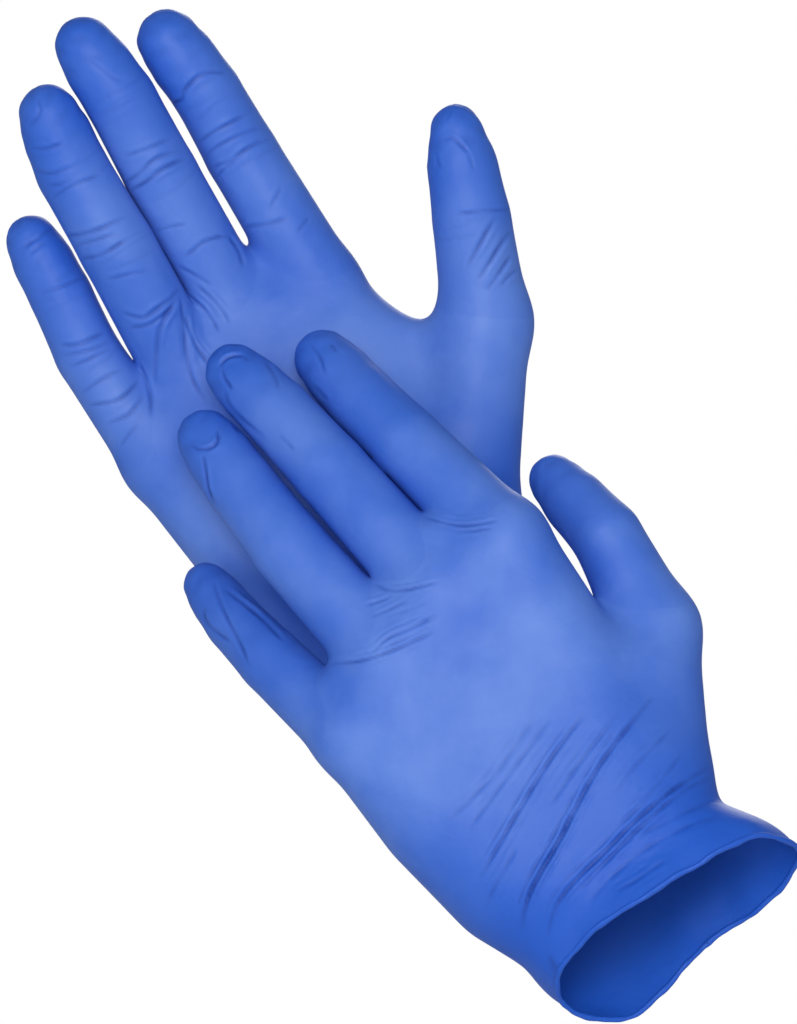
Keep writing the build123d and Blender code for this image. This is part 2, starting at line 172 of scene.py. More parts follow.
# Folds seen in the film: depth, half width, then points (towards thumb, above wrist)
FOLDS = {
    "left": {
        "wrist": [
            (0.8, 1.04, (43, 34), (20, 28), (8, 23), (-7, 15), (-19, 11), (-32, 3)),
            (0.6, 0.96, (23, 42), (12, 39), (-2, 34), (-23, 25), (-33, 21)),
            (0.6, 0.88, (4, 22), (-2, 18), (-13, 13), (-24, 8), (-32, 1)),
            (0.8, 1.04, (44, 7), (30, 8), (14, 7), (3, 5), (-8, 4), (-19, 1), (-27, -5)),
            (0.6, 0.96, (42, 4), (34, 6), (21, 5), (10, 4), (-2, 2), (-12, 0)),
            (0.3, 1.12, (10, 50), (-10, 43), (-29, 41)),
            (0.3, 1.04, (14, 47), (-6, 41), (-26, 35)),
            (0.35, 1.04, (32, 36), (12, 31), (-2, 26)),
            (0.3, 0.96, (42, 23), (24, 20), (16, 17)),
            (0.3, 0.96, (40, 15), (26, 11), (11, 9)),
            (0.4, 1.12, (39, -2), (30, 0), (18, 2), (7, 4)),
            (0.35, 1.2, (37, -7), (30, -4), (20, -2), (8, -1), (-2, -2), (-10, -4)),
            (0.35, 0.96, (16, -8), (5, -7), (-2, -6)),
            (0.5, 1.12, (-29, -9), (-30, -17), (-33, -23)),
            (0.3, 0.96, (-17, 22), (-27, 18), (-35, 14)),
        ],
        "finger_bases": [
            (0.5, 0.8, (20, 119), (24, 113), (29, 108), (37, 104)),
            (0.25, 0.75, (24, 110), (29, 106), (35, 103)),
            (0.5, 0.8, (-4, 112), (-2, 107), (4, 103), (12, 100)),
            (0.3, 0.75, (-10, 108), (-2, 105)),
            (0.25, 0.75, (-11, 104), (2, 101)),
            (0.55, 0.88, (-29, 101), (-23, 96), (-16, 93), (-8, 91), (2, 89)),
            (0.4, 0.8, (-18, 95), (-10, 96), (-3, 94), (6, 92)),
            (0.3, 0.75, (-14, 94), (-5, 92), (3, 90)),
            (0.2, 0.75, (-4, 100), (5, 97)),
        ],
        "fingertips": [
            (0.4, 0.8, (24, 184), (24, 178), (22, 173)),
            (0.3, 0.8, (29, 180), (29, 176)),
            (0.25, 0.8, (17, 173), (18, 166)),
            (0.6, 0.75, (-2, 194), (1, 195), (4, 194), (6, 192)),
            (0.6, 0.75, (-2, 193), (-3, 190), (-3, 186)),
            (0.3, 0.75, (6, 192), (6, 190)),
            (0.35, 0.88, (-5, 187), (-7, 183), (-6, 176), (-4, 168)),
            (0.35, 0.88, (10, 187), (10, 181), (8, 177)),
            (0.25, 0.8, (0, 166), (1, 159)),
            (0.7, 0.75, (-23, 180), (-22, 177), (-18, 175), (-15, 176), (-14, 179)),
            (0.7, 0.75, (-22, 175), (-24, 171), (-27, 166), (-28, 161)),
            (0.3, 0.75, (-9, 179), (-9, 174)),
            (0.5, 0.88, (-42, 144), (-44, 139), (-46, 130), (-47, 123), (-49, 115)),
            (0.5, 0.88, (-41, 140), (-39, 133), (-37, 125), (-36, 115)),
            (0.5, 0.8, (-50, 139), (-52, 134), (-49, 125)),
            (0.3, 0.8, (-38, 137), (-36, 131), (-35, 124)),
        ],
    },
    "right": {
        "index": [
            (0.6, 0.8, (33, 163), (38, 164), (44, 164), (49, 161)),
            (0.5, 0.75, (30, 164), (33, 162), (35, 163)),
            (0.5, 0.8, (29, 150), (38, 148), (47, 147)),
            (0.4, 0.75, (28, 146), (37, 144), (48, 142)),
            (0.5, 0.8, (28, 142), (33, 139), (41, 139), (48, 138)),
            (0.3, 0.75, (27, 139), (37, 138)),
            (0.25, 0.8, (34, 120), (42, 124)),
            (0.35, 0.88, (25, 122), (32, 117), (38, 115)),
            (0.35, 0.8, (43, 112), (37, 110)),
        ],
        "middle": [
            (0.35, 0.8, (9, 158), (16, 155), (24, 154)),
            (0.5, 0.8, (4, 153), (10, 151), (15, 152), (24, 150)),
            (0.6, 0.8, (4, 150), (9, 148), (17, 148), (24, 147)),
            (0.25, 0.75, (3, 136), (12, 131)),
            (0.5, 0.8, (5, 124), (9, 124), (14, 124), (20, 122)),
            (0.5, 0.8, (20, 122), (20, 117), (18, 112)),
            (0.3, 0.8, (2, 124), (5, 117), (7, 112)),
            (0.2, 0.96, (18, 186), (21, 177), (23, 175)),
        ],
        "ring": [
            (0.4, 0.75, (-12, 177), (-9, 173), (-3, 171)),
            (0.3, 0.75, (-15, 171), (-12, 166), (-5, 164)),
            (0.3, 0.75, (-15, 165), (-12, 162), (-5, 160)),
            (0.3, 0.75, (-17, 161), (-10, 160), (1, 157)),
            (0.5, 0.8, (-20, 151), (-16, 147), (-9, 144), (-1, 143)),
            (0.4, 0.75, (-19, 146), (-14, 143), (-6, 140)),
            (0.5, 0.8, (-20, 142), (-15, 138), (-5, 137)),
            (0.3, 0.75, (-18, 132), (-12, 129), (-5, 126)),
            (0.5, 0.8, (-20, 122), (-16, 116), (-12, 116), (-5, 116), (-1, 118)),
            (0.5, 0.8, (-21, 117), (-15, 113), (-6, 114)),
            (0.25, 0.8, (-9, 182), (-3, 182), (-1, 187)),
        ],
        "little": [
            (0.3, 0.75, (-32, 156), (-26, 155), (-21, 156)),
            (0.3, 0.75, (-32, 153), (-25, 153)),
            (0.4, 0.8, (-36, 141), (-29, 139), (-22, 138)),
            (0.5, 0.8, (-41, 126), (-36, 122), (-27, 121)),
            (0.4, 0.75, (-42, 123), (-35, 119), (-28, 118)),
            (0.4, 0.75, (-43, 120), (-38, 117), (-28, 116)),
            (0.4, 0.8, (-45, 111), (-38, 110), (-29, 109)),
            (0.5, 0.8, (-45, 107), (-38, 102), (-32, 102), (-27, 104)),
            (0.4, 0.8, (-44, 99), (-37, 96), (-29, 99)),
            (0.5, 0.8, (-25, 108), (-26, 103), (-28, 97), (-32, 92)),
            (0.3, 0.8, (-45, 91), (-36, 93)),
        ],
        "palm": [
            (0.6, 0.88, (-2, 117), (-5, 111), (-11, 102), (-15, 94), (-16, 85)),
            (0.45, 0.8, (-1, 116), (1, 109), (0, 100)),
            (0.5, 0.8, (-5, 110), (-8, 102), (-8, 93)),
            (0.45, 0.88, (-3, 116), (-9, 113), (-14, 111), (-19, 106), (-25, 100)),
            (0.3, 0.8, (3, 116), (5, 107), (4, 100)),
        ],
        "thumb": [
            (0.4, 0.75, (89, 104), (92, 103), (93, 96)),
            (0.25, 0.75, (85, 103), (83, 98)),
            (0.25, 0.75, (93, 96), (91, 91)),
            (0.25, 0.75, (93, 108), (97, 110)),
            (0.3, 0.75, (78, 84), (88, 78), (94, 76)),
            (0.55, 0.96, (88, 76), (81, 73), (71, 69)),
            (0.55, 0.96, (89, 71), (80, 67), (72, 64)),
            (0.45, 0.88, (85, 65), (78, 62), (72, 60)),
            (0.3, 0.8, (84, 61), (76, 59)),
        ],
    },
}


def unit(v):
    v = np.asarray(v, float)
    return v / np.linalg.norm(v)


def heading(lean, curl, side):
    lean, curl = math.radians(lean), math.radians(curl)
    return np.array((-math.sin(lean) * math.cos(curl), side * math.sin(curl),
                     math.cos(lean) * math.cos(curl)))


joints = {j["name"]: j for j in frame["joints"]}
KNUCKLE_SLOPE = math.radians(11.0)


class Glove:
    """The skeleton of one glove, hung on the joints that the CAD frame gives."""

    def __init__(self, hand, data):
        self.hand, self.data, self.side = hand, data, data["side"]
        self.origin = np.array(joints[f"{hand}_wrist"]["pos_m"]) * 1000
        self.U = unit(joints[f"{hand}_wrist"]["axis"]) * self.side
        line = -self.side * unit(joints[f"{hand}_knuckles"]["axis"])
        self.V = unit((line - self.U * math.cos(KNUCKLE_SLOPE)) / math.sin(KNUCKLE_SLOPE))
        self.W = unit(-self.side * np.cross(self.U, self.V))
        self.onward = unit(self.V * math.cos(KNUCKLE_SLOPE) - self.U * math.sin(KNUCKLE_SLOPE))
        self.knuckles = self.at(-1.5, 91.0)
        self.thumb_root = self.at(*data["thumb_root"])
        self.rim = self.origin + np.array(data["rim"])
        self.rim_out = unit(data["rim_outward"])
        self.rim_across = unit(data["rim_across"])
        self.chain = {}
        for digit in DIGITS:
            points = [self.at(*data["roots"][digit])]
            for length, (lean, curl) in zip(LENGTHS[digit], data["pose"][digit]):
                points.append(points[-1] + length * heading(lean, curl, self.side))
            self.chain[digit] = points
        self.third = unit(np.cross(self.rim_across, self.rim_out)) * self.side

    def at(self, u, v, w=0.0):
        return self.origin + u * self.U + v * self.V + w * self.W

    def local(self, p):
        d = p - self.origin
        return d @ self.U, d @ self.V, d @ self.W


# ---------------------------------------------------------------- distance field
def round_cone(p, a, b, ra, rb):
    """Distance from points p to a cone that ends in a ball of radius ra at a and rb at b."""
    axis = b - a
    length2 = float(axis @ axis)
    drop = ra - rb
    a2 = length2 - drop * drop
    inv = 1.0 / length2
    pa = p - a
    y = pa @ axis
    z = y - length2
    cross = pa * length2 - np.outer(y, axis)
    x2 = np.einsum("ij,ij->i", cross, cross)
    y2, z2 = y * y * length2, z * z * length2
    k = np.sign(drop) * drop * drop * x2
    out = (np.sqrt(x2 * a2 * inv) + y * drop) * inv - ra
    low = np.sign(y) * a2 * y2 < k
    high = np.sign(z) * a2 * z2 > k
    out = np.where(low, np.sqrt(x2 + y2) * inv - ra, out)
    return np.where(high, np.sqrt(x2 + z2) * inv - rb, out)


def smooth_min(a, b, k):
    h = np.clip(k - np.abs(a - b), 0, None) / k
    return np.minimum(a, b) - h * h * k * 0.25


def chain_field(p, points, radii, soft=0.0):
    best = None
    for a, b, ra, rb in zip(points[:-1], points[1:], radii[:-1], radii[1:]):
        d = round_cone(p, a, b, ra, rb)
        if best is None:
            best = d
        else:
            best = smooth_min(best, d, soft) if soft else np.minimum(best, d)
    return best


def palm_rays(g):
    """Bones of the palm and cuff: from past the rim through the wrist to knuckles and webs."""
    rays = []
    roots, webs = g.data["roots"], g.data["webs"]
    past = g.rim + g.rim_out * 14.0
    order = ["index", 0, "middle", 1, "ring", 2, "little"]
    for i, item in enumerate(order):
        share = 1.0 - 2.0 * i / 6.0
        points = [past + g.rim_across * share * 18.0, g.rim + g.rim_across * share * 17.4,
                  g.at(share * 16.2 + 1.4, -9.0), g.at(share * 15.8 + 1.0, 0),
                  g.at(share * (21.8 if g.side == 1 else 19.8) - 1.8, 17.0),
                  g.at(share * 28.4 - 2.0, 45.0)]
        radii = [22.8, 21.8, 21.4, 22.2, 20.9, 17.7]
        if isinstance(item, str):
            u, v, _ = roots[item]
            points.append(g.at(u, v))
            radii.append(g.data["root_balls"][FINGERS.index(item)])
        else:
            u, v = webs[item]
            left, right = roots[order[i - 1]], roots[order[i + 1]]
            points += [g.at((left[0] + right[0]) / 2, (left[1] + right[1]) / 2 - 2), g.at(u, v)]
            radii += [13.2, 8.0]
        rays.append((points, radii))
    return rays


def digit_chain(g, d):
    """Joint centres of a digit with one more point where its pad is fullest."""
    chain = g.chain[d]
    return chain[:-1] + [chain[-2] + (chain[-1] - chain[-2]) * 0.58, chain[-1]]


def field(g, p, parts=False):
    """Distance to the glove; neighbouring fingers are kept a slit apart."""
    palm = None
    for points, radii in palm_rays(g):
        d = chain_field(p, points, radii)
        palm = d if palm is None else smooth_min(palm, d, PALM_SOFTNESS)
    radii = g.data["radii"]
    root = round_cone(p, g.thumb_root, g.chain["thumb"][0], 17.0, radii["thumb"][0])
    palm = smooth_min(palm, root, THUMB_ROOT_SOFTNESS)
    web = g.data["thumb_web"]
    web_field = chain_field(p, [g.at(*c) for c, _ in web], [r for _, r in web])
    palm = smooth_min(palm, web_field, THUMB_WEB_SOFTNESS)
    digits = {d: chain_field(p, digit_chain(g, d), radii[d], 1.0) for d in DIGITS}
    fingers = None
    for i, d in enumerate(FINGERS):
        own = digits[d]
        for n in FINGERS[max(0, i - 1):i] + FINGERS[i + 1:i + 2]:
            own = np.maximum(own, SLIT / 2 - (digits[n] - digits[d]) / 2)
        fingers = own if fingers is None else np.minimum(fingers, own)
    whole = smooth_min(palm, fingers, FINGER_SOFTNESS)
    whole = smooth_min(whole, digits["thumb"], THUMB_SOFTNESS)
    return (whole, palm, digits) if parts else whole


# ---------------------------------------------------------------- folds and creases
def softened(points):
    """Round a line's corners and keep its ends."""
    p = np.array(points, float)
    for _ in range(3):
        cut = np.stack([p[:-1] * 0.75 + p[1:] * 0.25, p[:-1] * 0.25 + p[1:] * 0.75], 1).reshape(-1, 2)
        p = np.vstack([p[:1], cut[1:-1], p[-1:]])
    return p


def smooth(x, a, b):
    t = np.clip((x - a) / (b - a), 0, 1)
    return t * t * (3 - 2 * t)


def valley(x):
    """Section of a fold: a narrow valley between a full lip and a faint one."""
    return -np.exp(-x * x) + 0.6 * np.exp(-(x - 1.8) ** 2 / 1.3) + 0.25 * np.exp(-(x + 1.9) ** 2 / 1.5)


def fold_height(u, v, folds):
    """Height added by folds given as lines in the plane of the palm."""
    height = np.zeros(len(u))
    for depth, width, *points in folds:
        width *= FOLD_WIDTH
        line = softened(points)
        reach = 4.5 * width
        near = np.flatnonzero((u > line[:, 0].min() - reach) & (u < line[:, 0].max() + reach)
                              & (v > line[:, 1].min() - reach) & (v < line[:, 1].max() + reach))
        if not len(near):
            continue
        q = np.stack([u[near], v[near]], 1)
        steps = line[1:] - line[:-1]
        lengths = np.linalg.norm(steps, axis=1)
        run = np.concatenate([[0], np.cumsum(lengths)])
        best = np.full(len(q), 1e9)
        side = np.ones(len(q))
        place = np.zeros(len(q))
        for a, step, length, start in zip(line[:-1], steps, lengths, run):
            t = np.clip((q - a) @ step / length ** 2, 0, 1)
            away = q - a - t[:, None] * step
            far = np.hypot(away[:, 0], away[:, 1])
            closer = far < best
            best[closer] = far[closer]
            side[closer] = np.sign(step[0] * away[closer, 1] - step[1] * away[closer, 0])
            place[closer] = (start + t[closer] * length) / run[-1]
        fade = np.clip(np.minimum(place, 1 - place) * 5.0, 0, 1) ** 0.8
        uneven = 0.8 + 0.2 * np.sin(place * run[-1] * 0.55 + depth * 40)
        height[near] += FOLD_POWER * depth * uneven * fade * valley(side * best / width)
    return height


def companions(folds):
    """A fainter, shorter line on either side of every long fold."""
    out = []
    shifts = {"wrist": (-1.1, 1.9), "palm": (1.6, 0.4), "finger_bases": (0.4, 1.7)}
    for group, (across, along) in shifts.items():
        for depth, width, *points in folds.get(group, []):
            for turn, share in ((1, 0.45), (-1, 0.3)):
                p = np.array(points, float) + (turn * across, turn * along)
                p[0] += (p[1] - p[0]) * 0.3
                p[-1] += (p[-2] - p[-1]) * 0.3
                out.append((depth * share, width * 0.85, *p))
    return out


def digit_place(g, d, p):
    """Distance along a digit from its root and the angle from its palm side."""
    chain = g.chain[d]
    best = np.full(len(p), 1e9)
    along = np.zeros(len(p))
    angle = np.zeros(len(p))
    start = 0.0
    for a, b in zip(chain[:-1], chain[1:]):
        axis = b - a
        length = np.linalg.norm(axis)
        axis = axis / length
        t = (p - a) @ axis
        away = p - a - np.clip(t, 0, length)[:, None] * axis
        far = np.linalg.norm(away, axis=1)
        closer = far < best
        palmar = unit(g.W - axis * (g.W @ axis))
        across = np.cross(axis, palmar)
        best[closer] = far[closer]
        along[closer] = start + t[closer]
        angle[closer] = np.arctan2(away[closer] @ across, away[closer] @ palmar)
        start += length
    return along, angle


def crease_height(along, angle, centre, count, spread, depth, turn, seed):
    """A set of fine creases across a digit, on the side that faces turn."""
    draw = np.random.default_rng(seed)
    height = np.zeros(len(along))
    for i in range(count):
        at = centre + spread * ((i + 0.5) / count - 0.5) * 2 + draw.uniform(-0.5, 0.5)
        bend, phase, tilt = draw.uniform(0.3, 1.0), draw.uniform(0, 6.28), draw.uniform(-0.8, 0.8)
        middle, reach = draw.uniform(-0.5, 0.5), draw.uniform(0.5, 1.1)
        power, width = depth * draw.uniform(0.5, 1.0), draw.uniform(0.55, 0.85)
        turned = (angle - turn + np.pi) % (2 * np.pi) - np.pi
        line = at + bend * np.sin(2 * turned + phase) + tilt * turned
        fade = np.clip(1 - ((turned - middle) / reach) ** 2, 0, 1)
        height += power * np.sqrt(fade) * valley((along - line) / width)
    return height


def film_height(g, p, normals, owner, owned):
    """Folds and creases of the film, outward in millimetres, and how tight the film is."""
    u, v, w = g.local(p)
    facing = normals @ g.W
    seen, hidden = (-1, 1) if g.side == 1 else (1, -1)
    folds = FOLDS[g.hand]
    every = [fold for group in folds.values() for fold in group]
    height = smooth(facing * seen, 0.0, FACING_FULL) * fold_height(u, v, every)
    back_folds = FOLDS["left"]["wrist"] + FOLDS["left"]["finger_bases"]
    other = back_folds if g.side == -1 else FOLDS["right"]["palm"]
    height += smooth(facing * seen, 0.0, FACING_FULL) * fold_height(u, v, companions(folds))
    height += smooth(facing * hidden, 0.0, FACING_FULL) * fold_height(u, v, other)
    tight = smooth(v, -4.0, 50.0)
    for i, d in enumerate(DIGITS):
        mine = np.flatnonzero((owner == i) & owned)
        along, angle = digit_place(g, d, p[mine])
        lengths = np.cumsum(LENGTHS[d])
        tight[mine] = 0.85 - 0.5 * smooth(along, lengths[-1] - 40.0, lengths[-1])
        if g.side == 1:
            for k, joint in enumerate(lengths[:-1]):
                height[mine] += crease_height(along, angle, joint, 4, 4.0, 0.26, 0.0, 31 * i + k)
        else:
            for k, joint in enumerate(lengths[:-1]):
                height[mine] += crease_height(along, angle, joint, 7, 7.0, 0.26, math.pi, 57 * i + k)
                height[mine] += crease_height(along, angle, joint, 3, 5.0, 0.12, 0.0, 91 * i + k)
        tip = smooth(along, lengths[-1] - 14.0, lengths[-1] + 2.0)
        loose = np.sin(along * 0.9 + 2.0 * np.sin(angle * 2 + i)) * np.sin(angle * 3 + i * 1.7)
        height[mine] += 0.12 * tip * loose
    return height, tight


# ---------------------------------------------------------------- surface from the field
def surface_nets(values, low, step):
    """Quads around the zero level of a grid of values (dual contouring without features)."""
    inside = values < 0
    nx, ny, nz = values.shape
    cells = np.zeros((nx - 1, ny - 1, nz - 1), int)
    for dx in (0, 1):
        for dy in (0, 1):
            for dz in (0, 1):
                cells += inside[dx:nx - 1 + dx, dy:ny - 1 + dy, dz:nz - 1 + dz]
    mixed = (cells > 0) & (cells < 8)
    index = -np.ones(cells.shape, int)
    where = np.argwhere(mixed)
    index[mixed] = np.arange(len(where))
    total = np.zeros((len(where), 3))
    count = np.zeros(len(where))
    i, j, k = where.T
    for axis in range(3):
        others = [a for a in range(3) if a != axis]
        for s in (0, 1):
            for t in (0, 1):
                start = [i.copy(), j.copy(), k.copy()]
                start[others[0]] = start[others[0]] + s
                start[others[1]] = start[others[1]] + t
                end = [c.copy() for c in start]
                end[axis] = end[axis] + 1
                a, b = values[tuple(start)], values[tuple(end)]
                cross = (a < 0) != (b < 0)
                share = np.where(cross, a / np.where(cross, a - b, 1), 0)
                point = np.stack(start, 1).astype(float)
                point[:, axis] += share
                total += point * cross[:, None]
                count += cross
    vertices = low + total / count[:, None] * step
    quads = []
    for axis in range(3):
        others = [(axis + 1) % 3, (axis + 2) % 3]
        a = np.moveaxis(inside, axis, 0)
        change = np.moveaxis(a[:-1] != a[1:], 0, axis)
        place = np.argwhere(change)
        keep = np.ones(len(place), bool)
        for other in others:
            keep &= (place[:, other] > 0) & (place[:, other] < cells.shape[other])
        place = place[keep]
        corner = []
        for s, t in ((0, 0), (1, 0), (1, 1), (0, 1)):
            c = place.copy()
            c[:, others[0]] -= s
            c[:, others[1]] -= t
            corner.append(index[tuple(c.T)])
        quad = np.stack(corner, 1)
        flip = ~inside[tuple(place.T)]
        quad[flip] = quad[flip][:, ::-1]
        quads.append(quad)
    quads = np.vstack(quads)
    return vertices, quads[(quads >= 0).all(1)]


def gradient(g, p, h=0.25):
    out = np.empty_like(p)
    for axis in range(3):
        shift = np.zeros(3)
        shift[axis] = h
        out[:, axis] = field(g, p + shift) - field(g, p - shift)
    length = np.linalg.norm(out, axis=1, keepdims=True)
    return out / np.maximum(length, 1e-9)


def glove_surface(g):
    """The hand's shape as quads: a rough grid finds where the surface is, a fine one finds it."""
    points = np.vstack([np.array(c) for c in g.chain.values()] + [[g.rim, g.origin]])
    low = points.min(0) - (20, 30, WORKING_GRID)
    high = points.max(0) + WORKING_GRID
    axes = [np.arange(a, b, VOXEL) for a, b in zip(low, high)]
    shape = tuple(len(a) for a in axes)
    coarse_step = VOXEL * COARSE
    coarse_axes = [np.arange(a, b + coarse_step, coarse_step) for a, b in zip(low, high)]
    cp = np.stack(np.meshgrid(*coarse_axes, indexing="ij"), -1).reshape(-1, 3)
    coarse = field(g, cp).reshape([len(a) for a in coarse_axes])
    near = np.abs(coarse) < coarse_step * 1.8
    half = COARSE // 2
    parts = []
    for rough, empty in ((near, False), (coarse, 10.0)):
        for axis in range(3):
            rough = np.repeat(rough, COARSE, axis)
        rough = rough[half:, half:, half:][:shape[0], :shape[1], :shape[2]]
        part = np.full(shape, empty)
        part[:rough.shape[0], :rough.shape[1], :rough.shape[2]] = rough
        parts.append(part)
    grid_near, values = parts
    where = np.argwhere(grid_near)
    p = low + where * VOXEL
    values[grid_near] = np.concatenate([field(g, c) for c in np.array_split(p, max(1, len(p) // 200000))])
    vertices, quads = surface_nets(values, low, VOXEL)
    return vertices - gradient(g, vertices) * field(g, vertices)[:, None], quads


# ---------------------------------------------------------------- meshes
def vertex_normals(vertices, quads):
    n = np.cross(vertices[quads[:, 2]] - vertices[quads[:, 0]], vertices[quads[:, 3]] - vertices[quads[:, 1]])
    out = np.zeros_like(vertices)
    for c in range(4):
        np.add.at(out, quads[:, c], n)
    return out / np.maximum(np.linalg.norm(out, axis=1, keepdims=True), 1e-12)


def boundary_edges(quads):
    edges = np.vstack([quads[:, [c, (c + 1) % 4]] for c in range(4)])
    key = np.sort(edges, 1)
    key = key[:, 0].astype(np.int64) * 10_000_000 + key[:, 1]
    _, first, count = np.unique(key, return_index=True, return_counts=True)
    return edges[first[count == 1]]


def make_piece(name, vertices, normals, quads, material, marks, thickness=FILM):
    """A closed film: the outside faces, the same faces set in by its thickness, and an edge."""
    used, local = np.unique(quads, return_inverse=True)
    quads = local.reshape(quads.shape)
    outer, normal = vertices[used], normals[used]
    inner = outer - normal * thickness
    n = len(outer)
    rim = boundary_edges(quads)
    walls = np.stack([rim[:, 1], rim[:, 0], rim[:, 0] + n, rim[:, 1] + n], 1)
    faces = np.vstack([quads, quads[:, ::-1] + n, walls])
    mesh = bpy.data.meshes.new(name)
    mesh.vertices.add(2 * n)
    mesh.vertices.foreach_set("co", (np.vstack([outer, inner]) / 1000).astype(np.float32).ravel())
    mesh.loops.add(faces.size)
    mesh.loops.foreach_set("vertex_index", faces.ravel().astype(np.int32))
    mesh.polygons.add(len(faces))
    mesh.polygons.foreach_set("loop_start", np.arange(0, faces.size, 4, dtype=np.int32))
    mesh.polygons.foreach_set("use_smooth", np.ones(len(faces), bool))
    mesh.update(calc_edges=True)
    mesh.validate()
    for mark, values in marks.items():
        layer = mesh.attributes.new(mark, "FLOAT", "POINT")
        layer.data.foreach_set("value", np.tile(values[used], 2).astype(np.float32))
    custom = np.vstack([normal, -normal])
    mesh.normals_split_custom_set_from_vertices([tuple(v) for v in custom.tolist()])
    mesh.materials.append(material)
    obj = bpy.data.objects.new(name, mesh)
    bpy.context.scene.collection.objects.link(obj)
    return obj


def relax(vertices, quads, rounds):
    """Even a surface out by moving every point halfway to the mean of its neighbours."""
    edges = np.sort(np.vstack([quads[:, [c, (c + 1) % 4]] for c in range(4)]), 1)
    edges = np.unique(edges[:, 0].astype(np.int64) * 10_000_000 + edges[:, 1])
    a, b = edges // 10_000_000, edges % 10_000_000
    n = len(vertices)
    degree = np.bincount(a, minlength=n) + np.bincount(b, minlength=n)
    out = vertices.copy()
    for _ in range(rounds):
        total = np.stack([np.bincount(a, out[b, c], n) + np.bincount(b, out[a, c], n) for c in range(3)], 1)
        out = (out + total / degree[:, None]) / 2
    return out


def ordered_loop(edges):
    following = dict(edges.tolist())
    start = edges[0, 0]
    loop, at = [start], following[start]
    while at != start:
        loop.append(at)
        at = following[at]
    return loop


def make_bead(name, path, material):
    """The rolled edge: a soft ring along the rim, a little uneven as rolled film is."""
    even = path.copy()
    for _ in range(6):
        even = (np.roll(even, 1, 0) + 2 * even + np.roll(even, -1, 0)) / 4
    gap = np.linalg.norm(np.roll(even, -1, 0) - even, axis=1)
    along = np.concatenate([[0], np.cumsum(gap)])
    total = along[-1]
    n = int(total / BEAD_STEP)
    where = np.arange(n) * total / n
    closed = np.vstack([even, even[:1]])
    line = np.stack([np.interp(where, along, closed[:, a]) for a in range(3)], 1)
    tangent = np.roll(line, -1, 0) - np.roll(line, 1, 0)
    tangent /= np.linalg.norm(tangent, axis=1, keepdims=True)
    outward = line - line.mean(0)
    outward -= (outward * tangent).sum(1, keepdims=True) * tangent
    outward /= np.linalg.norm(outward, axis=1, keepdims=True)
    third = np.cross(tangent, outward)
    phase = where / total * 2 * math.pi
    radius = BEAD * (1 + 0.10 * np.sin(9 * phase + 1) + 0.08 * np.sin(23 * phase + 2)
                     + 0.06 * np.sin(41 * phase))
    sides = BEAD_SIDES
    rings = []
    for s in range(sides):
        a = 2 * math.pi * s / sides
        rings.append(line + radius[:, None] * (math.cos(a) * outward + math.sin(a) * third))
    vertices = np.stack(rings, 1).reshape(-1, 3)
    i = np.arange(n)[:, None]
    s = np.arange(sides)[None, :]
    quads = np.stack([i * sides + s, ((i + 1) % n) * sides + s, ((i + 1) % n) * sides + (s + 1) % sides,
                      i * sides + (s + 1) % sides], -1).reshape(-1, 4)
    mesh = bpy.data.meshes.new(name)
    mesh.from_pydata((vertices / 1000).tolist(), [], quads[:, ::-1].tolist())
    mesh.polygons.foreach_set("use_smooth", np.ones(len(quads), bool))
    mesh.update()
    mesh.materials.append(material)
    obj = bpy.data.objects.new(name, mesh)
    bpy.context.scene.collection.objects.link(obj)
    return obj


